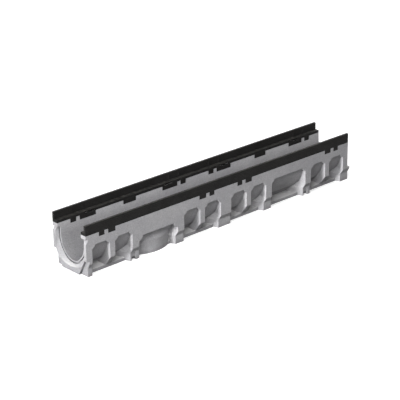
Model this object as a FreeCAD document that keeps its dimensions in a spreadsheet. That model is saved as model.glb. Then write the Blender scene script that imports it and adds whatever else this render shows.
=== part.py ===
# Drainage channel, 1000 mm long, of polymer concrete with cast-iron edge rails.
# +X runs along the channel, +Y across it, +Z up. The origin is on the ground under the middle of the
# laying length. The socket end looks to -X, the cradle end to +X.
import FreeCAD, Part
import math
import os
import Sketcher
from FreeCAD import Placement, Rotation, Vector

doc = FreeCAD.newDocument("ChannelDrain")

# ---------------------------------------------------------------- driving sizes, in millimetres
SIZES = [
    ("laying_length", 1000, "length of one channel in a run"),
    ("overall_width", 140, "across the walls and the rails"),
    ("overall_height", 150, "ground to the top of the rails"),
    ("clear_width", 100, "between the grating seats, the nominal width"),

    ("rail_height", 28.5, "leg of an edge rail"),
    ("rail_leg", 7, "thickness of the leg"),
    ("seat_drop", 21, "grating seat below the rail top"),
    ("tab_drop", 12, "anchor tabs below the rail"),
    ("rail_bite", 3, "how far a tab runs up into the rail"),
    ("outer_tab_thickness", 6, "tabs in the outer face of the wall"),
    ("inner_tab_thickness", 5, "tabs in the inner face of the wall"),
    ("outer_narrow_start", 44.2, "outer narrow tab from the rail's end"),
    ("outer_narrow_width", 18.7, "outer narrow tab"),
    ("outer_wide_start", 75.3, "outer wide tab from the rail's end"),
    ("outer_wide_width", 25, "outer wide tab"),
    ("inner_narrow_start", 44, "inner narrow tab from the rail's end"),
    ("inner_narrow_width", 19.2, "inner narrow tab"),
    ("inner_long_start", 75.8, "inner long tab from the rail's end"),
    ("inner_long_width", 54.9, "inner long tab"),
    ("inner_middle_width", 44.8, "tab at the middle of the rail"),
    ("lock_slot_width", 44, "slot for the grating's lock, over each long tab"),
    ("lock_slot_height", 5, "slot for the grating's lock"),
    ("lock_slot_depth", 6, "slot for the grating's lock, into the seat"),

    ("invert_height", 28.5, "trough floor above the ground"),
    ("trough_half", 49, "half width of the trough where its sides turn in"),
    ("trough_rise", 60, "trough floor up to where the sides turn in"),
    ("trough_floor_radius", 40, "arc of the trough floor"),

    ("roof_height", 90.5, "roof of the side pockets"),
    ("shell_top_half", 62.6, "half width of the shell at the pocket roof"),
    ("shell_radius", 114, "bulge of the shell's sides"),
    ("shell_knee_half", 29, "half width where the bulge ends"),
    ("shell_knee_height", 25, "height where the bulge ends"),
    ("shell_foot_half", 12.4, "half width where the shell meets the base"),
    ("base_half", 48.2, "half width of the base plate"),
    ("base_thickness", 9, "base plate"),

    ("web_knee_height", 37.5, "where a rib leaves the wall plane"),
    ("foot_height", 24.5, "top of a foot's upright face"),
    ("foot_inset", 7.2, "foot behind the wall plane"),
    ("foot_flare", 9.7, "foot wider than its rib at the edge of the base plate, each side"),
    ("flare_top", 42, "height where a foot is as narrow as its rib"),
    ("wide_web", 23.5, "rib beside the large pockets"),
    ("narrow_web", 17.5, "rib between two small pockets"),
    ("centre_web", 40, "rib at mid length, and twice an end rib"),
    ("large_pocket", 138, "large pocket and outlet bay"),
    ("pocket_corner", 10, "rounded upper corners of a pocket"),
    ("prong", 4, "narrow prong of a notched foot, on its -X side"),
    ("panel_width", 15.3, "sunk panel and notch beside the narrow prong"),
    ("panel_sink", 1.8, "sunk panel of a notched foot"),
    ("panel_height", 22, "sunk panel above the ground"),
    ("foot_notch_height", 10, "notch under the sunk panel"),
    ("foot_notch_depth", 10, "notch under the sunk panel"),

    ("bay_height", 67.3, "roof of the outlet bay"),
    ("bay_corner", 13, "rounded upper corners of the bay"),
    ("collar_radius", 102, "each side arc of the collar round the outlet"),
    ("collar_half", 61.2, "half width of the collar at the outlet's axis"),
    ("collar_height", 38, "upright side of the collar"),
    ("collar_taper", 7.7, "how far the collar slopes in from there to the bay's roof"),
    ("outlet_radius", 55.25, "pipe socket in the collar"),
    ("outlet_depth", 20, "pipe socket up to the knock-out floor"),

    ("flange_length", 9, "end flange of the socket end"),
    ("flange_step_height", 48, "underside of the flange at the walls"),
    ("flange_step_half", 60, "where the flange starts to slope in"),
    ("flange_toe_half", 36, "half width of the flange's lower edge"),
    ("flange_toe_height", 2, "lower edge of the flange"),
    ("mouth_top_half", 61.2, "socket mouth at its top"),
    ("mouth_half", 59.5, "socket mouth where its sides turn in"),
    ("mouth_turn_height", 50, "where the mouth's sides turn in"),
    ("mouth_floor_height", 15, "lowest point of the socket mouth"),
    ("mouth_floor_radius", 90, "arc of the mouth's floor"),
    ("socket_depth", 10, "mouth to the groove"),
    ("lip_thickness", 3.8, "lip around the trough"),
    ("groove_width", 4.6, "sealing groove outside the lip"),
    ("groove_depth", 5, "sealing groove"),
    ("sling_notch_height", 111, "top of the socket and of the notch in the end of each wall"),
    ("sling_notch_drop", 13, "notch at the end face"),
    ("sling_notch_depth", 8.5, "notch along the wall"),

    ("cradle_length", 9, "cradle beyond the laying length"),
    ("cradle_height", 43, "top of the cradle's horns"),
    ("cradle_gap", 1.5, "between a horn and the next channel's flange"),
    ("tongue_length", 7, "tongue that enters the next channel's socket"),
    ("tongue_clearance", 1.5, "tongue to the socket"),

    ("cut_margin", 5, "how far a cutting solid runs past the faces that it cuts"),
]

sheet = doc.addObject("Spreadsheet::Sheet", "Sizes")
for row, (alias, size, note) in enumerate(SIZES, start=1):
    sheet.set("A%d" % row, alias)
    sheet.set("B%d" % row, str(size))
    sheet.set("C%d" % row, note)
    sheet.setAlias("B%d" % row, alias)
doc.recompute()

# ---------------------------------------------------------------- places worked out from the sizes
# A U outline has sides that turn in at the half width a, an arc of radius r2 on each side and a floor
# arc of radius r1. The rise from the floor to the turn is b, and the arcs are tangent at the joint:
#   r2 = (a^2 + b^2 - 2 b r1) / (2 (a - r1))


def u_outline(name, a, b, r1, turn):
    """The three cells that complete a U outline: side arc, and the joint's half width and height."""
    side = "%s_side_radius" % name
    fall = "(%s - (%s))" % (r1, b)
    return [
        (side, "((%s)^2 + (%s)^2 - 2 * (%s) * (%s)) / (2 * (%s - (%s)))" % (a, b, b, r1, a, r1)),
        ("%s_joint_half" % name, "(%s) * (%s - (%s)) / (%s - (%s))" % (r1, side, a, side, r1)),
        ("%s_joint_height" % name,
         "(%s) - (%s) + (%s) + (%s) * %s / (%s - (%s))" % (turn, b, r1, r1, fall, side, r1)),
    ]


PLACES = [
    ("wall_half", "overall_width / 2"),
    ("seat_half", "clear_width / 2"),
    ("half_length", "laying_length / 2"),
    ("quarter", "laying_length / 4"),
    ("rail_base", "overall_height - rail_height"),
    ("seat_height", "overall_height - seat_drop"),
    ("leg_inner", "wall_half - rail_leg"),
    ("tab_bottom", "rail_base - tab_drop"),
    ("trough_turn", "invert_height + trough_rise"),
    ("foot_half", "wall_half - foot_inset"),
    ("roof_corner_height", "roof_height - pocket_corner"),
    ("bay_corner_height", "bay_height - bay_corner"),
    ("large_half", "large_pocket / 2"),
    ("large_roof_half", "large_half - pocket_corner"),
    ("bay_roof_half", "large_half - bay_corner"),
    ("small_pocket", "(quarter - large_half - wide_web - narrow_web - centre_web / 2) / 2"),
    ("small_half", "small_pocket / 2"),
    ("small_roof_half", "small_half - pocket_corner"),
    ("inner_small_place", "large_half + wide_web + small_half"),
    ("narrow_web_place", "large_half + wide_web + small_pocket + narrow_web / 2"),
    ("outer_small_place", "quarter - centre_web / 2 - small_half"),
    ("wide_web_place", "large_half + wide_web / 2"),
    ("lip_half", "trough_half + lip_thickness"),
    ("lip_rise", "trough_rise + lip_thickness"),
    ("lip_floor_radius", "trough_floor_radius + lip_thickness"),
    ("lip_top_half", "seat_half + lip_thickness"),
    ("groove_half", "lip_half + groove_width"),
    ("groove_rise", "lip_rise + groove_width"),
    ("groove_floor_radius", "lip_floor_radius + groove_width"),
    ("groove_top_half", "lip_top_half + groove_width"),
    ("mouth_rise", "mouth_turn_height - mouth_floor_height"),
    ("tongue_half", "groove_half - tongue_clearance"),
    ("tongue_rise", "groove_rise - tongue_clearance"),
    ("tongue_floor_radius", "groove_floor_radius - tongue_clearance"),
    ("above_rails", "overall_height + cut_margin"),
    ("beyond_wall", "wall_half + cut_margin"),
    ("sling_notch_foot", "sling_notch_height - sling_notch_drop"),
    ("horn_toe_half", "flange_toe_half + cradle_gap"),
    ("horn_top_half",
     "horn_toe_half + (flange_step_half - flange_toe_half)"
     " * (cradle_height - flange_toe_height) / (flange_step_height - flange_toe_height)"),
    ("middle_flare", "foot_flare * wall_half / (wall_half - base_half)"),
    ("wide_web_half", "wide_web / 2"),
    ("wide_web_root", "wide_web_half + middle_flare"),
    ("centre_web_half", "centre_web / 2"),
    ("centre_web_root", "centre_web_half + middle_flare"),
    ("wide_foot", "wide_web + 2 * foot_flare * foot_inset / (wall_half - base_half)"),
    ("collar_back", "collar_radius - collar_half"),
    ("collar_end_half", "sqrt(collar_radius ^ 2 - large_half ^ 2) - collar_back"),
    ("collar_slope_end_half", "collar_end_half - collar_taper"),
]
PLACES += u_outline("trough", "trough_half", "trough_rise", "trough_floor_radius", "trough_turn")
PLACES += u_outline("lip", "lip_half", "lip_rise", "lip_floor_radius", "trough_turn")
PLACES += u_outline("groove", "groove_half", "groove_rise", "groove_floor_radius", "trough_turn")
PLACES += u_outline("tongue", "tongue_half", "tongue_rise", "tongue_floor_radius", "trough_turn")
PLACES += u_outline("mouth", "mouth_half", "mouth_rise", "mouth_floor_radius", "mouth_turn_height")

driving = {alias for alias, size, note in SIZES}
placed = doc.addObject("Spreadsheet::Sheet", "Places")


def qualified(formula):
    """The formula with every driving size named on its own sheet."""
    word = ""
    out = ""
    for letter in formula + " ":
        if letter.isalnum() or letter == "_":
            word += letter
            continue
        out += ("Sizes." + word if word in driving else word) + letter
        word = ""
    return out.strip()


for row, (alias, formula) in enumerate(PLACES, start=1):
    placed.set("A%d" % row, alias)
    placed.set("B%d" % row, "=" + qualified(formula))
    placed.setAlias("B%d" % row, alias)
doc.recompute()


def number(term):
    """The present value of a named size or place, with or without a minus sign, or of a plain zero."""
    if term == "0":
        return 0.0
    name = term.lstrip("-")
    cell = (sheet if name in driving else placed).get(name)
    return -float(cell) if term.startswith("-") else float(cell)


def bound(term):
    """The expression that ties a property to a named size or place."""
    name = term.lstrip("-")
    sign = "-" if term.startswith("-") else ""
    return sign + ("Sizes." if name in driving else "Places.") + name


# ---------------------------------------------------------------- sketches and solids
ACROSS = Rotation(Vector(1, 1, 1), 120)     # sketch plane Y-Z, normal along +X
ALONG = Rotation(Vector(1, 0, 0), 90)       # sketch plane X-Z, normal along -Y


def outline(name, rotation, corners, arcs=None):
    """A closed sketch through named corners; arcs gives the radius and bulge of a side by its index.

    The bulge is +1 where the arc lies to the right of the way from corner to corner, -1 to the left.
    """
    arcs = arcs or {}
    sketch = doc.addObject("Sketcher::SketchObject", name)
    sketch.Placement = Placement(Vector(), rotation)
    points = [Vector(number(across), number(up), 0) for across, up in corners]
    ends = []
    for side, start in enumerate(points):
        finish = points[(side + 1) % len(points)]
        if side not in arcs:
            sketch.addGeometry(Part.LineSegment(start, finish), False)
            ends.append((1, 2))
            continue
        radius_term, bulge = arcs[side]
        radius = number(radius_term)
        chord = finish - start
        reach = chord.Length / 2
        sagitta = radius - math.sqrt(radius ** 2 - reach ** 2)
        outward = Vector(chord.y, -chord.x, 0).normalize() * (sagitta * bulge)
        middle = (start + finish) * 0.5 + outward
        sketch.addGeometry(Part.Arc(start, middle, finish), False)
        ends.append((1, 2) if bulge > 0 else (2, 1))
        index = sketch.addConstraint(Sketcher.Constraint("Radius", side, radius))
        sketch.setExpression("Constraints[%d]" % index, bound(radius_term))
    for side, (across, up) in enumerate(corners):
        before = side - 1 if side else len(corners) - 1
        here = ends[side][0]
        sketch.addConstraint(Sketcher.Constraint("Coincident", before, ends[before][1], side, here))
        for kind, axis, term in (("DistanceX", -2, across), ("DistanceY", -1, up)):
            if term == "0":
                sketch.addConstraint(Sketcher.Constraint("PointOnObject", side, here, axis))
                continue
            index = sketch.addConstraint(Sketcher.Constraint(kind, -1, 1, side, here, number(term)))
            sketch.setExpression("Constraints[%d]" % index, bound(term))
    return sketch


def mirrored(corners):
    """The corners of the +Y half, then those of the -Y half in reverse order."""
    other = [("-" + across, up) for across, up in reversed(corners)]
    return corners + other


def extrude(name, sketch, length, place=None, symmetric=False):
    """A sketch drawn out along its normal by a named length, then set at a named X."""
    solid = doc.addObject("Part::Extrusion", name)
    solid.Base = sketch
    solid.DirMode = "Normal"
    solid.Solid = True
    solid.Symmetric = symmetric
    solid.setExpression("LengthFwd", length)
    if place:
        solid.setExpression("Placement.Base.x", place)
    return solid


def box(name, length, width, height, x, y, z):
    """A block with its least corner at x, y, z; all six are expressions."""
    block = doc.addObject("Part::Box", name)
    for prop, term in (("Length", length), ("Width", width), ("Height", height)):
        block.setExpression(prop, term)
    for axis, term in (("x", x), ("y", y), ("z", z)):
        block.setExpression("Placement.Base." + axis, term)
    return block


def fuse(name, shapes):
    """Several solids as one."""
    joined = doc.addObject("Part::MultiFuse", name)
    joined.Shapes = shapes
    return joined


def cut(name, base, tool):
    """One solid less another."""
    rest = doc.addObject("Part::Cut", name)
    rest.Base = base
    rest.Tool = tool
    return rest


def u_corners(name, half, turn, top_half, top):
    """The eight corners of a U outline and its arcs, from the upper +Y corner round the floor."""
    joint = ("%s_joint_half" % name, "%s_joint_height" % name)
    corners = mirrored([(top_half, top), (half, turn), joint])
    side = "%s_side_radius" % name
    floor = "%s_floor_radius" % name
    return corners, {1: (side, -1), 2: (floor, -1), 3: (side, -1)}


# ---------------------------------------------------------------- cast body: outer form
def shell():
    """Trough shell, wall strips and base plate, as one section over the laying length."""
    corners = [
        ("wall_half", "rail_base"),
        ("wall_half", "roof_height"),
        ("shell_top_half", "roof_height"),
        ("shell_knee_half", "shell_knee_height"),
        ("shell_foot_half", "base_thickness"),
        ("base_half", "base_thickness"),
        ("base_half", "0"),
    ]
    section = outline("ShellSection", ACROSS, mirrored(corners),
                      {2: ("shell_radius", -1), 10: ("shell_radius", -1)})
    return extrude("Shell", section, "Sizes.laying_length", symmetric=True)


def rib_block(name):
    """The ribs before the pockets are taken out: wall planes, knee facets and feet, full length."""
    corners = [
        ("wall_half", "rail_base"),
        ("wall_half", "web_knee_height"),
        ("foot_half", "foot_height"),
        ("foot_half", "0"),
    ]
    section = outline(name + "Section", ACROSS, mirrored(corners))
    return extrude(name, section, "Sizes.laying_length", symmetric=True)


def pocket_outline(name, half, corner_height, roof_half, roof, radius):
    """A pocket seen from the side, with rounded upper corners."""
    corners = [(half, corner_height), (half, "-cut_margin")]
    other = [("-" + across, up) for across, up in reversed(corners)]
    roof_line = [("-" + roof_half, roof), (roof_half, roof)]
    return outline(name, ALONG, corners + other + roof_line, {3: (radius, 1), 5: (radius, 1)})


def pockets():
    """Everything that the side pockets and the outlet bay take out of the rib block."""
    through = "Sizes.overall_width + 2 * Sizes.cut_margin"
    large = pocket_outline("LargePocketOutline", "large_half", "roof_corner_height",
                           "large_roof_half", "roof_height", "pocket_corner")
    bay = pocket_outline("BayOutline", "large_half", "bay_corner_height",
                         "bay_roof_half", "bay_height", "bay_corner")
    small = pocket_outline("SmallPocketOutline", "small_half", "roof_corner_height",
                           "small_roof_half", "roof_height", "pocket_corner")
    voids = [
        extrude("LargePocket", large, through, "Places.quarter", symmetric=True),
        extrude("OutletBay", bay, through, "-Places.quarter", symmetric=True),
    ]
    for half, centre in (("Start", "-Places.quarter"), ("End", "Places.quarter")):
        for side, sign in (("A", -1), ("B", 1)):
            for kind, place in (("Inner", "inner_small_place"), ("Outer", "outer_small_place")):
                where = "%s + %d * Places.%s" % (centre, sign, place)
                voids.append(extrude("SmallPocket" + half + side + kind, small, through, where,
                                     symmetric=True))
    return voids


def flared_foot(name, half, root, place):
    """The foot of a broad rib: it widens from the wall inwards, and closes on the rib above."""
    wide = [(half, "wall_half"), (root, "0"), (half, "-wall_half"),
            ("-" + half, "-wall_half"), ("-" + root, "0"), ("-" + half, "wall_half")]
    narrow = [(across.replace(root, half), along) for across, along in wide]
    shoulder = outline(name + "Outline", Rotation(), wide)
    shoulder.setExpression("Placement.Base.z", "Sizes.foot_height")
    top = outline(name + "Top", Rotation(), narrow)
    top.setExpression("Placement.Base.z", "Sizes.flare_top")
    closing = doc.addObject("Part::Loft", name + "Closing")
    closing.Sections = [shoulder, top]
    closing.Solid = True
    closing.Ruled = True
    upright = extrude(name + "Upright", shoulder, "-Sizes.foot_height")
    foot = fuse(name, [upright, closing])
    foot.setExpression("Placement.Base.x", place)
    return foot


def flared_feet():
    """Feet of the end ribs, the centre rib and the ribs beside the large pockets, in the rib block."""
    feet = [
        flared_foot("FootStart", "centre_web_half", "centre_web_root", "-Places.half_length"),
        flared_foot("FootCentre", "centre_web_half", "centre_web_root", "0"),
        flared_foot("FootEnd", "centre_web_half", "centre_web_root", "Places.half_length"),
    ]
    for half, centre in (("Start", "-Places.quarter"), ("End", "Places.quarter")):
        for side, sign in (("A", -1), ("B", 1)):
            where = "%s + %d * Places.wide_web_place" % (centre, sign)
            feet.append(flared_foot("Foot" + half + side, "wide_web_half", "wide_web_root", where))
    within = doc.addObject("Part::MultiCommon", "Feet")
    within.Shapes = [rib_block("FootBlock"), fuse("FlaredFeet", feet)]
    return within


def narrow_rib_facets():
    """Below the knee a narrow rib slopes in to the edge of the base plate, on both sides."""
    corners = [
        ("beyond_wall", "web_knee_height"),
        ("wall_half", "web_knee_height"),
        ("base_half", "base_thickness"),
        ("base_half", "-cut_margin"),
        ("beyond_wall", "-cut_margin"),
    ]
    section = outline("FacetSection", ACROSS, corners)
    span = "Sizes.narrow_web + 2 * Sizes.cut_margin"
    facets = []
    for half, centre in (("Start", "-Places.quarter"), ("End", "Places.quarter")):
        for side, sign in (("A", -1), ("B", 1)):
            where = "%s + %d * Places.narrow_web_place" % (centre, sign)
            for wall, turn in (("Far", 0), ("Near", 180)):
                facet = extrude("Facet" + half + side + wall, section, span, where, symmetric=True)
                facet.Placement.Rotation = Rotation(Vector(0, 0, 1), turn)
                facets.append(facet)
    return facets


def foot_notches():
    """Two feet on each side have a sunk panel beside a narrow prong, notched at the ground."""
    notches = []
    for end, sign in (("Start", -1), ("End", 1)):
        middle = "%d * (Places.quarter + Places.wide_web_place)" % sign
        x = "%s - Places.wide_foot / 2 + Sizes.prong" % middle
        for wall, far in (("Far", True), ("Near", False)):
            for kind, depth, height in (("Panel", "Sizes.panel_sink", "Sizes.panel_height"),
                                        ("Notch", "Sizes.foot_notch_depth", "Sizes.foot_notch_height")):
                y = "Places.foot_half - %s" % depth if far else "-Places.foot_half - Sizes.cut_margin"
                notches.append(box(kind + end + wall, "Sizes.panel_width",
                                   "%s + Sizes.cut_margin" % depth, "%s + Sizes.cut_margin" % height,
                                   x, y, "-Sizes.cut_margin"))
    return notches


def collar_outline(name, end_half):
    """The collar in plan: a bowed side to each wall, and straight ends within the ribs."""
    corners = [("-large_half", end_half), ("large_half", end_half),
               ("large_half", "-" + end_half), ("-large_half", "-" + end_half)]
    return outline(name, Rotation(), corners, {0: ("collar_radius", -1), 2: ("collar_radius", -1)})


def collar():
    """Collar round the outlet: an upright side, then a slope in to the shell under the bay's roof."""
    foot = collar_outline("CollarOutline", "collar_end_half")
    ring = extrude("CollarRing", foot, "Sizes.collar_height", "-Places.quarter")
    lower = collar_outline("CollarShoulder", "collar_end_half")
    upper = collar_outline("CollarTop", "collar_slope_end_half")
    lower.setExpression("Placement.Base.z", "Sizes.collar_height")
    upper.setExpression("Placement.Base.z", "Sizes.bay_height")
    slope = doc.addObject("Part::Loft", "CollarSlope")
    slope.Sections = [lower, upper]
    slope.Solid = True
    slope.Ruled = True
    slope.setExpression("Placement.Base.x", "-Places.quarter")
    return [ring, slope]


def cradle():
    """Two horns beyond the laying length, which hold the next channel's sloping flange."""
    corners = [
        ("horn_top_half", "cradle_height"),
        ("horn_toe_half", "0"),
        ("foot_half", "0"),
        ("foot_half", "foot_height"),
        ("wall_half", "web_knee_height"),
        ("wall_half", "cradle_height"),
    ]
    section = outline("HornSection", ACROSS, corners)
    far = extrude("HornFar", section, "Sizes.cradle_length", "Places.half_length")
    other = [("-" + across, up) for across, up in corners]
    section = outline("HornSectionNear", ACROSS, other)
    near = extrude("HornNear", section, "Sizes.cradle_length", "Places.half_length")
    return [far, near]


def tongue():
    """The U-shaped tongue that enters the next channel's socket, up to where the trough's sides turn."""
    corners, arcs = u_corners("tongue", "tongue_half", "trough_turn", "tongue_half", "trough_turn")
    arcs = {side - 1: arc for side, arc in arcs.items()}
    section = outline("TongueSection", ACROSS, corners[1:-1], arcs)
    return extrude("Tongue", section, "Sizes.tongue_length", "Places.half_length")


# ---------------------------------------------------------------- cast body: what is taken out
def trough():
    """The water way, through both ends."""
    corners, arcs = u_corners("trough", "trough_half", "trough_turn", "seat_half", "above_rails")
    corners = [corners[0], ("seat_half", "rail_base")] + corners[1:]
    corners = corners[:-1] + [("-seat_half", "rail_base"), corners[-1]]
    arcs = {side + 1: arc for side, arc in arcs.items()}
    section = outline("TroughSection", ACROSS, corners, arcs)
    return extrude("Trough", section, "Sizes.laying_length + 4 * Sizes.cradle_length", symmetric=True)


def socket():
    """Socket: a funnel from the mouth to the groove's outer edge, then the groove around the lip."""
    top = "sling_notch_height"
    corners, arcs = u_corners("mouth", "mouth_half", "mouth_turn_height", "mouth_top_half", top)
    mouth = outline("MouthSection", ACROSS, corners, arcs)
    corners, arcs = u_corners("groove", "groove_half", "trough_turn", "groove_top_half", top)
    inner = outline("GrooveSection", ACROSS, corners, arcs)
    mouth.setExpression("Placement.Base.x", "-Places.half_length")
    inner.setExpression("Placement.Base.x", "-Places.half_length + Sizes.socket_depth")
    funnel = doc.addObject("Part::Loft", "SocketFunnel")
    funnel.Sections = [mouth, inner]
    funnel.Solid = True
    funnel.Ruled = True
    groove = extrude("GrooveOuter", inner, "Sizes.groove_depth")
    corners, arcs = u_corners("lip", "lip_half", "trough_turn", "lip_top_half", "above_rails")
    lip = outline("LipSection", ACROSS, corners, arcs)
    core = extrude("GrooveCore", lip, "2 * Sizes.groove_depth",
                   "-Places.half_length + Sizes.socket_depth", symmetric=True)
    return [funnel, cut("Groove", groove, core)]


def flange_undercut():
    """What lies outside the sloping end flange, down to the ground."""
    corners = mirrored([
        ("beyond_wall", "flange_step_height"),
        ("flange_step_half", "flange_step_height"),
        ("flange_toe_half", "flange_toe_height"),
    ])
    corners += [("-beyond_wall", "-cut_margin"), ("beyond_wall", "-cut_margin")]
    section = outline("UndercutSection", ACROSS, corners)
    length = "Sizes.flange_length + Sizes.cut_margin"
    return extrude("Undercut", section, length, "-Places.half_length - Sizes.cut_margin")


def sling_notch():
    """Notch in the end of both walls under the rails, with a level roof and a sloping floor."""
    corners = [
        ("-cut_margin", "sling_notch_height"),
        ("sling_notch_depth", "sling_notch_height"),
        ("0", "sling_notch_foot"),
        ("-cut_margin", "sling_notch_foot"),
    ]
    section = outline("SlingNotchSection", ALONG, corners)
    through = "Sizes.overall_width + 2 * Sizes.cut_margin"
    return extrude("SlingNotch", section, through, "-Places.half_length", symmetric=True)


def outlet_bore():
    """Pipe socket from below, up to the knock-out floor."""
    bore = doc.addObject("Part::Cylinder", "OutletBore")
    bore.setExpression("Radius", "Sizes.outlet_radius")
    bore.setExpression("Height", "Sizes.outlet_depth + Sizes.cut_margin")
    bore.setExpression("Placement.Base.x", "-Places.quarter")
    bore.setExpression("Placement.Base.z", "-Sizes.cut_margin")
    return bore


# ---------------------------------------------------------------- edge rails
def anchor_tabs(name):
    """The tabs under one rail, in its own frame: middle at X = 0, the wall at +Y."""
    outer_y = "Places.wall_half - Sizes.outer_tab_thickness"
    inner_y = "Places.seat_half"
    kinds = [
        ("OuterNarrow", "outer_narrow", outer_y, "Sizes.outer_tab_thickness"),
        ("OuterWide", "outer_wide", outer_y, "Sizes.outer_tab_thickness"),
        ("InnerNarrow", "inner_narrow", inner_y, "Sizes.inner_tab_thickness"),
        ("InnerLong", "inner_long", inner_y, "Sizes.inner_tab_thickness"),
    ]
    tabs = []
    for kind, size, y, thickness in kinds:
        start = "Places.quarter - Sizes.%s_start" % size
        width = "Sizes.%s_width" % size
        for side, x in (("A", "-(%s)" % start), ("B", "%s - %s" % (start, width))):
            tabs.append(box(name + kind + side, width, thickness, "Sizes.tab_drop + Sizes.rail_bite",
                            x, y, "Places.tab_bottom"))
    tabs.append(box(name + "InnerMiddle", "Sizes.inner_middle_width", "Sizes.inner_tab_thickness",
                    "Sizes.tab_drop + Sizes.rail_bite", "-Sizes.inner_middle_width / 2", inner_y,
                    "Places.tab_bottom"))
    return tabs


def edge_rail(name, label, place, turned):
    """One rail: L section with the grating seat, its anchor tabs and the slots for the grating's locks."""
    corners = [
        ("wall_half", "rail_base"),
        ("wall_half", "overall_height"),
        ("leg_inner", "overall_height"),
        ("leg_inner", "seat_height"),
        ("seat_half", "seat_height"),
        ("seat_half", "rail_base"),
    ]
    section = outline(name + "Section", ACROSS, corners)
    bar = extrude(name + "Bar", section, "Places.half_length", symmetric=True)
    casting = fuse(name + "Casting", [bar] + anchor_tabs(name))
    slots = []
    for side, sign in (("A", -1), ("B", 1)):
        middle = "%d * (Places.quarter - Sizes.inner_long_start - Sizes.inner_long_width / 2)" % sign
        slots.append(box(name + "Slot" + side, "Sizes.lock_slot_width",
                         "Sizes.lock_slot_depth + Sizes.cut_margin", "Sizes.lock_slot_height",
                         "%s - Sizes.lock_slot_width / 2" % middle,
                         "Places.seat_half - Sizes.cut_margin", "Places.rail_base"))
    rail = cut(name, casting, fuse(name + "Slots", slots))
    rail.Label = label
    rail.Placement.Rotation = Rotation(Vector(0, 0, 1), 180 if turned else 0)
    rail.setExpression("Placement.Base.x", place)
    return rail


rails = [
    edge_rail("FarStart", "rail_far_start", "-Places.quarter", False),
    edge_rail("FarEnd", "rail_far_end", "Places.quarter", False),
    edge_rail("NearStart", "rail_near_start", "-Places.quarter", True),
    edge_rail("NearEnd", "rail_near_end", "Places.quarter", True),
]

# ---------------------------------------------------------------- the body, with the rails cast in
ribs = cut("Ribs", rib_block("RibBlock"), fuse("RibVoids", pockets() + narrow_rib_facets()))
solid_form = fuse("SolidForm", [shell(), ribs, flared_feet(), tongue()] + cradle() + collar())
taken_out = [trough(), flange_undercut(), sling_notch(), outlet_bore()]
taken_out += foot_notches() + socket() + rails
body = cut("Body", solid_form, fuse("TakenOut", taken_out))
body.Label = "channel_body"

doc.recompute()

# ---------------------------------------------------------------- check and write
for obj in doc.Objects:
    if "Invalid" in obj.State or "Error" in obj.State:
        raise RuntimeError("%s failed: %s" % (obj.Name, obj.State))

os.makedirs("parts", exist_ok=True)
for part in [body] + rails:
    shape = part.Shape
    if shape.isNull() or not shape.isValid():
        raise RuntimeError("%s has no valid shape" % part.Label)
    if len(shape.Solids) != 1:
        raise RuntimeError("%s has %d solids" % (part.Label, len(shape.Solids)))
for part in [body] + rails:
    part.Shape.exportStep("parts/%s.step" % part.Label)
    print(part.Label, round(part.Shape.Volume), part.Shape.BoundBox)
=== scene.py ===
# Channel drain: polymer concrete body with cast-iron edge rails, laid on a pale studio floor.
# Lengths are in metres, apart from those of the rail details, which are in millimetres.
import math
import bmesh
import bpy
from mathutils import Matrix, Vector


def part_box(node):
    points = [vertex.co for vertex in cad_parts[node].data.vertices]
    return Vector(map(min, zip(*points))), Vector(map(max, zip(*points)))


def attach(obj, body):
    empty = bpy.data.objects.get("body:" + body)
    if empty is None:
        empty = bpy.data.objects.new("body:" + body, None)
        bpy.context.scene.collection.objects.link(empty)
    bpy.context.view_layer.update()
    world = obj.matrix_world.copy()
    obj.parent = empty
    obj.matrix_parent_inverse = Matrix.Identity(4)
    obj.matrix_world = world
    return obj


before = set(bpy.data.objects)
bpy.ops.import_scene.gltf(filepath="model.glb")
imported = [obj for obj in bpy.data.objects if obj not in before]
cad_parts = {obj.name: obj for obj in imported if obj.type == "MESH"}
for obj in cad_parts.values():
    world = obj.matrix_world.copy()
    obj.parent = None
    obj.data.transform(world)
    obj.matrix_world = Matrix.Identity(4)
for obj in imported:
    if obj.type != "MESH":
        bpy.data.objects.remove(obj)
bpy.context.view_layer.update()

scene = bpy.context.scene
scene.view_settings.view_transform = "Standard"

# ---------------------------------------------------------------- camera
AZIMUTH = math.radians(-42.28)
ELEVATION = math.radians(22.68)
ROLL = math.radians(-0.59)
DISTANCE = 4.436
LENS = 141.9                # millimetres, like the width of the sensor
SENSOR_WIDTH = 36.0
VIEW_DEPTH = 50.0
AIM = Vector((-0.0349, 0.0, 0.0690))


def add_camera():
    """The studio camera, above the near wall and looking along the channel from its socket end."""
    back = Vector((math.sin(AZIMUTH) * math.cos(ELEVATION), -math.cos(AZIMUTH) * math.cos(ELEVATION),
                   math.sin(ELEVATION)))
    data = bpy.data.cameras.new("Camera")
    data.lens = LENS
    data.sensor_width = SENSOR_WIDTH
    data.clip_end = VIEW_DEPTH
    camera = bpy.data.objects.new("Camera", data)
    scene.collection.objects.link(camera)
    camera.location = AIM + back * DISTANCE
    turn = back.to_track_quat("Z", "Y").to_matrix().to_4x4() @ Matrix.Rotation(ROLL, 4, "Z")
    camera.rotation_euler = turn.to_euler()
    scene.camera = camera


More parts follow.
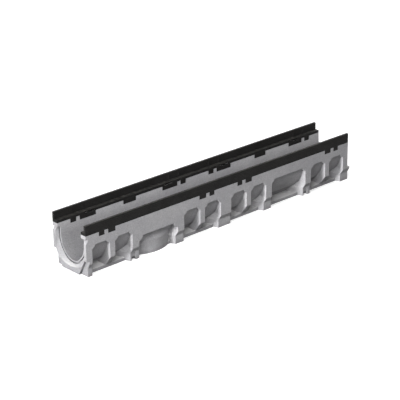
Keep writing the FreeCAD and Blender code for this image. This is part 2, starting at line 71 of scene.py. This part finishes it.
# ---------------------------------------------------------------- light, world and floor
WHITE = (1.0, 1.0, 1.0, 1.0)
AMBIENT = 0.06              # what the world gives to the surfaces
FLOOR_BOUNCE = 0.08         # how pale the floor is to the light that it throws back
FLOOR_SEEN = 0.86           # how pale it is where it is seen
FLOOR_LIFT = (0.42, 1.0)    # glow of the floor where it is seen, near the channel and far away
FLOOR_NEAR_FAR = (0.7, 2.6)
FLOOR_HALF = 9.0
LAMP_AIM = Vector((0.0, 0.0, 0.07))
SOFT_LAMPS = [
    # name, place, edge length, watts
    ("FrontHigh", (-1.62, -1.36, 2.17), 1.0, 50.0),
    ("FrontLow", (-1.0, -2.4, 1.2), 1.0, 19.0),
    ("StartLow", (-2.91, -0.62, 0.47), 1.0, 20.0),
    ("BackFill", (-0.6, 2.9, 1.5), 1.6, 95.0),
    ("EndFill", (2.7, 0.9, 1.0), 1.2, 48.0),
]
BEAM_PLACE = (-3.37, -0.54, 0.86)
BEAM_AIM = Vector((0.62, 0.0, 0.03))
BEAM_WATTS = 860.0
BEAM_RADIUS = 0.35
BEAM_ANGLE = math.radians(13.5)


def hang(name, data, place, aim):
    """Hangs a lamp at its place, shining at a point."""
    lamp = bpy.data.objects.new(name, data)
    scene.collection.objects.link(lamp)
    lamp.location = place
    lamp.rotation_euler = (Vector(place) - aim).to_track_quat("Z", "Y").to_euler()


def add_lamps():
    """Soft square lamps round the channel, and a narrow, soft beam from the socket end along its side."""
    for name, place, edge, watts in SOFT_LAMPS:
        data = bpy.data.lights.new(name, "AREA")
        data.shape = "SQUARE"
        data.size = edge
        data.energy = watts
        hang(name, data, place, LAMP_AIM)
    beam = bpy.data.lights.new("Beam", "SPOT")
    beam.energy = BEAM_WATTS
    beam.shadow_soft_size = BEAM_RADIUS
    beam.spot_size = BEAM_ANGLE
    beam.spot_blend = 1.0
    hang("Beam", beam, BEAM_PLACE, BEAM_AIM)


# ---------------------------------------------------------------- shader building blocks
def add_node(tree, kind, **settings):
    """A shader node with its plain settings."""
    node = tree.nodes.new("ShaderNode" + kind)
    for name, value in settings.items():
        setattr(node, name, value)
    return node


def feed(tree, value, socket):
    """Puts a plain number or colour on a socket, or links another node's output to it."""
    if isinstance(value, (float, tuple)):
        socket.default_value = value
    else:
        tree.links.new(value, socket)


def noise(tree, where, scale, detail):
    """Soft noise from 0 to 1, with scale features to the metre."""
    node = add_node(tree, "TexNoise")
    node.inputs["Scale"].default_value = scale
    node.inputs["Detail"].default_value = detail
    tree.links.new(where, node.inputs["Vector"])
    return node.outputs["Fac"]


def cells(tree, where, scale):
    """Random cells: how far a point is from its cell's middle, and a random value of the cell."""
    node = add_node(tree, "TexVoronoi")
    node.inputs["Scale"].default_value = scale
    tree.links.new(where, node.inputs["Vector"])
    split = add_node(tree, "SeparateColor")
    tree.links.new(node.outputs["Color"], split.inputs["Color"])
    return node.outputs["Distance"], split.outputs["Red"]


def remap(tree, value, low, high, to_low, to_high):
    """The value from low to high, drawn to the new range and held inside it."""
    node = add_node(tree, "MapRange")
    for name, number in (("From Min", low), ("From Max", high), ("To Min", to_low), ("To Max", to_high)):
        node.inputs[name].default_value = number
    tree.links.new(value, node.inputs["Value"])
    return node.outputs["Result"]


def spread(tree, value, to_low, to_high):
    """Noise, which mostly lies between 0.3 and 0.7, drawn to the new range."""
    return remap(tree, value, 0.3, 0.7, to_low, to_high)


def calculate(tree, operation, first, second=0.0):
    """One sum, product or other result of two values, or of the first alone."""
    node = add_node(tree, "Math", operation=operation)
    feed(tree, first, node.inputs[0])
    feed(tree, second, node.inputs[1])
    return node.outputs[0]


def product(tree, first, second):
    """Two values multiplied."""
    return calculate(tree, "MULTIPLY", first, second)


def rest_of(tree, share):
    """What is left of 1 after a share."""
    return calculate(tree, "SUBTRACT", 1.0, share)


def parts_of(tree, vector):
    """The X, Y and Z of a vector."""
    node = add_node(tree, "SeparateXYZ")
    tree.links.new(vector, node.inputs[0])
    return node.outputs["X"], node.outputs["Y"], node.outputs["Z"]


def face_direction(tree):
    """The X, Y and Z of the direction that the surface faces."""
    return parts_of(tree, add_node(tree, "NewGeometry").outputs["True Normal"])


def mix_colours(tree, share, first, second):
    """From the first colour to the second as the share goes from 0 to 1."""
    node = add_node(tree, "Mix", data_type="RGBA")
    tree.links.new(share, node.inputs[0])
    feed(tree, first, node.inputs[6])
    feed(tree, second, node.inputs[7])
    return node.outputs[2]


def scaled_colour(tree, colour, factor):
    """A colour made lighter or darker by a value near 1."""
    node = add_node(tree, "VectorMath", operation="SCALE")
    tree.links.new(colour, node.inputs[0])
    tree.links.new(factor, node.inputs["Scale"])
    return node.outputs[0]


def set_normal(tree, shader, height, depth, edge_radius):
    """Gives the shader a normal that is soft at the edges and follows a relief of the given depth."""
    edges = add_node(tree, "Bevel", samples=6)
    edges.inputs["Radius"].default_value = edge_radius
    relief = add_node(tree, "Bump")
    relief.inputs["Strength"].default_value = 1.0
    relief.inputs["Distance"].default_value = depth
    tree.links.new(height, relief.inputs["Height"])
    tree.links.new(edges.outputs["Normal"], relief.inputs["Normal"])
    tree.links.new(relief.outputs["Normal"], shader.inputs["Normal"])


def seen_directly(tree):
    """A value that is 1 for rays from the camera, reflections and glass, and 0 for other light."""
    rays = add_node(tree, "LightPath").outputs
    seen = calculate(tree, "MAXIMUM", rays["Is Camera Ray"], rays["Is Glossy Ray"])
    return calculate(tree, "MAXIMUM", seen, rays["Is Transmission Ray"])


def new_material(name):
    """A new material with its node tree, its surface shader and the place on the surface in metres."""
    material = bpy.data.materials.new(name)
    material.use_nodes = True
    tree = material.node_tree
    where = add_node(tree, "TexCoord").outputs["Object"]
    return material, tree, tree.nodes["Principled BSDF"], where


# ---------------------------------------------------------------- materials of the channel
CONCRETE_DIM = (0.372, 0.368, 0.384, 1.0)
CONCRETE_PALE = (0.418, 0.414, 0.424, 1.0)
QUARTZ_PALE = (0.62, 0.60, 0.58, 1.0)
QUARTZ_DARK = (0.20, 0.19, 0.19, 1.0)
# painted shade inside the air pits
PIT_SHADE_COLOUR = (0.12, 0.115, 0.115, 1.0)
# pale dust and painted top light on faces that look up
DUST_AND_TOP_LIGHT_COLOUR = (0.66, 0.655, 0.65, 1.0)
SHADE_REACH = 0.022             # how near two faces are for painted shade to fall between them
SHADE_SHARE = 0.62
# painted shade in the trough, darker towards its floor
TROUGH_SHADE_SHARE = 0.30
TROUGH_SHADE_HEIGHTS = (0.055, 0.112)  # full below the first, gone above the second
DUST_AND_TOP_LIGHT_SHARE = 0.62
TROUGH_HEIGHTS = (0.03, 0.0905)     # two heights, and half widths there, between the trough's own
TROUGH_REACH = (0.0347, 0.053)      # surface and the outside of the shell round it
TROUGH_BOTTOM = (0.0190, 0.0200)    # heights inside the concrete under the trough

COAT_DARK = (0.0082, 0.0078, 0.0075, 1.0)
COAT_PALE = (0.0142, 0.0137, 0.0132, 1.0)
RUBBED_IRON = (0.060, 0.058, 0.054, 1.0)
RIPPLE_PITCH = 1400.0           # radians to the metre of height


def stone_colour(tree, where, patches):
    """Cloudy grey resin full of fine grains, with a few pale and dark grains of quartz."""
    clouds = noise(tree, where, 11.0, 3.0)
    base = mix_colours(tree, remap(tree, clouds, 0.32, 0.68, 0.0, 1.0), CONCRETE_DIM, CONCRETE_PALE)
    base = scaled_colour(tree, base, spread(tree, patches, 0.955, 1.045))
    _, grain_tone = cells(tree, where, 620.0)
    base = scaled_colour(tree, base, remap(tree, grain_tone, 0.0, 1.0, 0.88, 1.12))
    quartz_middle, quartz_tone = cells(tree, where, 260.0)
    dot = remap(tree, quartz_middle, 0.22, 0.34, 1.0, 0.0)
    pale = product(tree, dot, remap(tree, quartz_tone, 0.84, 0.86, 0.0, 0.55))
    dark = product(tree, dot, remap(tree, quartz_tone, 0.14, 0.16, 0.5, 0.0))
    base = mix_colours(tree, pale, base, QUARTZ_PALE)
    return mix_colours(tree, dark, base, QUARTZ_DARK)


def air_pits(tree, where):
    """1 in the small round pits that air bubbles leave in a casting, and 0 beside them."""
    middle, tone = cells(tree, where, 72.0)
    return product(tree, remap(tree, middle, 0.045, 0.085, 1.0, 0.0), remap(tree, tone, 0.30, 0.31, 1.0, 0.0))


def painted_shade_in_hollows(tree, facing):
    """How much painted shade darkens the concrete in its hollows, most of all on walls that face sideways."""
    hollow = add_node(tree, "AmbientOcclusion", samples=8)
    hollow.inputs["Distance"].default_value = SHADE_REACH
    shut = remap(tree, hollow.outputs["AO"], 0.1, 0.85, SHADE_SHARE, 0.0)
    sideways = calculate(tree, "ABSOLUTE", facing[1])
    return product(tree, shut, remap(tree, sideways, 0.55, 0.9, 0.30, 1.0))


def trough_surface(tree, facing, place):
    """1 on the trough's own surface, where water runs, and 0 on the ends and the outside."""
    reach = remap(tree, place[2], *TROUGH_HEIGHTS, *TROUGH_REACH)
    off_middle = calculate(tree, "ABSOLUTE", place[1])
    inside = remap(tree, calculate(tree, "SUBTRACT", reach, off_middle), 0.0, 0.0005, 0.0, 1.0)
    above = remap(tree, place[2], *TROUGH_BOTTOM, 0.0, 1.0)
    lengthways = calculate(tree, "ABSOLUTE", facing[0])
    return product(tree, product(tree, inside, above), remap(tree, lengthways, 0.3, 0.6, 1.0, 0.0))


def polymer_concrete():
    """Grey polymer concrete, with painted shade in its hollows, in its air pits and low in its trough, and
    pale dust with painted top light on its ledges.
    """
    material, tree, shader, where = new_material("PolymerConcrete")
    facing = face_direction(tree)
    place = parts_of(tree, where)
    patches = noise(tree, where, 55.0, 4.0)
    pit = air_pits(tree, where)
    trough = trough_surface(tree, facing, place)
    base = stone_colour(tree, where, patches)
    # painted shade: the air pits are darkened
    base = mix_colours(tree, product(tree, pit, 0.6), base, PIT_SHADE_COLOUR)
    # painted shade: the concrete is darkened where its faces stand close together
    base = scaled_colour(tree, base, rest_of(tree, painted_shade_in_hollows(tree, facing)))
    # painted shade: the trough's own surface is darkened towards its floor
    trough_shade = product(tree, trough, remap(tree, place[2], *TROUGH_SHADE_HEIGHTS, TROUGH_SHADE_SHARE, 0.0))
    base = scaled_colour(tree, base, rest_of(tree, trough_shade))
    # pale dust and painted top light: faces that look up are made paler, outside the trough
    dust_and_top_light = remap(tree, facing[2], 0.55, 0.9, 0.0, DUST_AND_TOP_LIGHT_SHARE)
    base = mix_colours(tree, product(tree, dust_and_top_light, rest_of(tree, trough)), base, DUST_AND_TOP_LIGHT_COLOUR)
    tree.links.new(base, shader.inputs["Base Color"])
    tree.links.new(spread(tree, patches, 0.66, 0.80), shader.inputs["Roughness"])
    shader.inputs["Specular IOR Level"].default_value = 0.12
    grit = remap(tree, noise(tree, where, 900.0, 2.0), 0.2, 0.8, 0.0, 0.25)
    set_normal(tree, shader, calculate(tree, "SUBTRACT", grit, pit), 0.0006, 0.0009)
    return material


def cast_iron():
    """Cast iron in a matt black dip coat, sandy from the mould, greyer where gratings rub."""
    material, tree, shader, where = new_material("CastIron")
    facing = face_direction(tree)
    place = parts_of(tree, where)
    clouds = noise(tree, where, 24.0, 4.0)
    sand = noise(tree, where, 520.0, 3.0)
    scuffs = noise(tree, where, 70.0, 5.0)
    base = mix_colours(tree, spread(tree, clouds, 0.0, 1.0), COAT_DARK, COAT_PALE)
    base = scaled_colour(tree, base, spread(tree, sand, 0.72, 1.28))
    upward = remap(tree, facing[2], 0.85, 0.95, 0.0, 1.0)
    rubbed = product(tree, upward, remap(tree, scuffs, 0.42, 0.66, 0.15, 0.7))
    base = mix_colours(tree, rubbed, base, RUBBED_IRON)
    tree.links.new(base, shader.inputs["Base Color"])
    tree.links.new(spread(tree, sand, 0.72, 0.88), shader.inputs["Roughness"])
    shader.inputs["Specular IOR Level"].default_value = 0.15
    wave = calculate(tree, "SINE", product(tree, place[2], RIPPLE_PITCH))
    sideways = calculate(tree, "ABSOLUTE", facing[1])
    ripple = product(tree, remap(tree, sideways, 0.9, 0.98, 0.0, 0.6), wave)
    grit = remap(tree, sand, 0.25, 0.75, 0.0, 1.0)
    set_normal(tree, shader, calculate(tree, "ADD", grit, ripple), 0.0005, 0.0011)
    return material


# ---------------------------------------------------------------- world and floor
def add_world():
    """White where it is seen, and a plain soft light where it isn't."""
    world = bpy.data.worlds.new("Studio")
    scene.world = world
    world.use_nodes = True
    tree = world.node_tree
    background = tree.nodes["Background"]
    background.inputs["Color"].default_value = WHITE
    strength = remap(tree, seen_directly(tree), 0.0, 1.0, AMBIENT, 1.0)
    tree.links.new(strength, background.inputs["Strength"])


def studio_floor():
    """A pale floor that is white where it is seen, keeps the shadow and throws little light back."""
    material, tree, shader, where = new_material("StudioFloor")
    seen = seen_directly(tree)
    dim, pale = ((tone, tone, tone, 1.0) for tone in (FLOOR_BOUNCE, FLOOR_SEEN))
    colour = mix_colours(tree, seen, dim, pale)
    colour = scaled_colour(tree, colour, spread(tree, noise(tree, where, 2.0, 2.0), 0.995, 1.0))
    tree.links.new(colour, shader.inputs["Base Color"])
    shader.inputs["Roughness"].default_value = 1.0
    shader.inputs["Specular IOR Level"].default_value = 0.0
    shader.inputs["Emission Color"].default_value = WHITE
    away = add_node(tree, "VectorMath", operation="LENGTH")
    tree.links.new(where, away.inputs[0])
    lift = remap(tree, away.outputs["Value"], *FLOOR_NEAR_FAR, *FLOOR_LIFT)
    tree.links.new(product(tree, seen, lift), shader.inputs["Emission Strength"])
    return material


def add_floor():
    """A flat floor far beyond the view."""
    mesh = bpy.data.meshes.new("Floor")
    corners = [(x * FLOOR_HALF, y * FLOOR_HALF, 0.0) for x, y in ((-1, -1), (1, -1), (1, 1), (-1, 1))]
    mesh.from_pydata(corners, [], [(0, 1, 2, 3)])
    floor = bpy.data.objects.new("Floor", mesh)
    scene.collection.objects.link(floor)
    mesh.materials.append(studio_floor())


# ---------------------------------------------------------------- details of the rails
# All in millimetres. A profile is drawn on the +Y wall, as pairs of Y and Z, and mirrored to the other.
MILLIMETRE = 1000.0              # to the metre
NARROW_TAB = (44.0, 63.2)        # from the rail's end, as are the next two and the ribs
LONG_TAB = (75.8, 130.7)
LOCK_BOSS = (75.8, 93.5)         # the end of the long tab beside the narrow one
LEG_RIBS = (58.0, 96.0)
MIDDLE_TAB_HALF = 22.4
TAB_PROFILE = [(49.20, 110.0), (49.55, 121.6), (52.0, 121.6), (52.0, 110.0)]
TAB_EDGE = 0.25
BOSS_PROFILE = [(48.75, 117.0), (48.75, 126.4), (51.4, 129.25), (53.5, 129.25), (53.5, 117.0)]
BOSS_EDGE = 0.5
LEG_FACE = 63.0                  # the rail leg's inner face
RIB_ROOT = 63.4                  # inside the leg
RIB_HALVES = (2.2, 0.6)          # at the root and at the crest
RIB_STEPS = ((129.5, 1.5), (142.5, 1.5), (144.5, 0.2))   # height, and how proud the crest is


def corner(shape, x, y, z):
    """A mesh corner at a place in millimetres."""
    return shape.verts.new((x / MILLIMETRE, y / MILLIMETRE, z / MILLIMETRE))


def join_loops(shape, low, high):
    """Faces between two loops of as many corners."""
    for i in range(len(low)):
        j = (i + 1) % len(low)
        shape.faces.new((low[i], low[j], high[j], high[i]))


def iron_piece(name, shape, material):
    """Makes a shape into a cast-iron piece that belongs to the fixed body."""
    mesh = bpy.data.meshes.new(name)
    shape.to_mesh(mesh)
    shape.free()
    piece = bpy.data.objects.new(name, mesh)
    scene.collection.objects.link(piece)
    mesh.materials.append(material)
    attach(piece, "root")


def section_bar(name, profile, side, start, finish, radius, material):
    """A short bar of one profile along X, with rounded edges, on one of the two walls."""
    shape = bmesh.new()
    ends = [[corner(shape, x, side * y, z) for y, z in profile] for x in (start, finish)]
    for end in ends:
        shape.faces.new(end)
    join_loops(shape, *ends)
    bmesh.ops.recalc_face_normals(shape, faces=shape.faces)
    bmesh.ops.bevel(shape, geom=list(shape.edges), offset=radius / MILLIMETRE, segments=2, profile=0.5,
                    affect="EDGES", clamp_overlap=True)
    iron_piece(name, shape, material)


def leg_rib(name, x, side, material):
    """A low upright rib on the inner face of a rail's leg, with sloping flanks and a sloping top."""
    shape = bmesh.new()
    root, crest = RIB_HALVES
    rows = []
    for z, proud in RIB_STEPS:
        section = ((-root, RIB_ROOT), (-crest, LEG_FACE - proud), (crest, LEG_FACE - proud), (root, RIB_ROOT))
        rows.append([corner(shape, x + dx, side * y, z) for dx, y in section])
    for low, high in zip(rows, rows[1:]):
        join_loops(shape, low, high)
    shape.faces.new(rows[0])
    shape.faces.new(rows[-1])
    bmesh.ops.recalc_face_normals(shape, faces=shape.faces)
    iron_piece(name, shape, material)


def rail_details(iron):
    """The faces of the inner tabs in the trough's walls, the lock bosses and the leg ribs."""
    for wall, side in (("Far", 1), ("Near", -1)):
        for rail in ("Start", "End"):
            where = wall + rail
            low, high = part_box("rail_%s_%s" % (wall.lower(), rail.lower()))
            first, last = low.x * MILLIMETRE, high.x * MILLIMETRE
            middle = (first + last) / 2
            section_bar("TabMiddle" + where, TAB_PROFILE, side, middle - MIDDLE_TAB_HALF,
                        middle + MIDDLE_TAB_HALF, TAB_EDGE, iron)
            for end, tip, way in (("A", first, -1), ("B", last, 1)):
                for kind, span, profile, radius in (
                        ("TabNarrow", NARROW_TAB, TAB_PROFILE, TAB_EDGE),
                        ("TabLong", LONG_TAB, TAB_PROFILE, TAB_EDGE),
                        ("BossNarrow", NARROW_TAB, BOSS_PROFILE, BOSS_EDGE),
                        ("BossLong", LOCK_BOSS, BOSS_PROFILE, BOSS_EDGE)):
                    start, finish = sorted(tip - way * reach for reach in span)
                    section_bar(kind + where + end, profile, side, start, finish, radius, iron)
                for number, reach in enumerate(LEG_RIBS, start=1):
                    leg_rib("LegRib%s%s%d" % (where, end, number), tip - way * reach, side, iron)


def dress():
    """Gives every carried-over piece its finish, and the rails their details."""
    concrete = polymer_concrete()
    iron = cast_iron()
    for name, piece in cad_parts.items():
        piece.data.materials.clear()
        piece.data.materials.append(concrete if name == "channel_body" else iron)
    rail_details(iron)


dress()
add_floor()
add_world()
add_lamps()
add_camera()
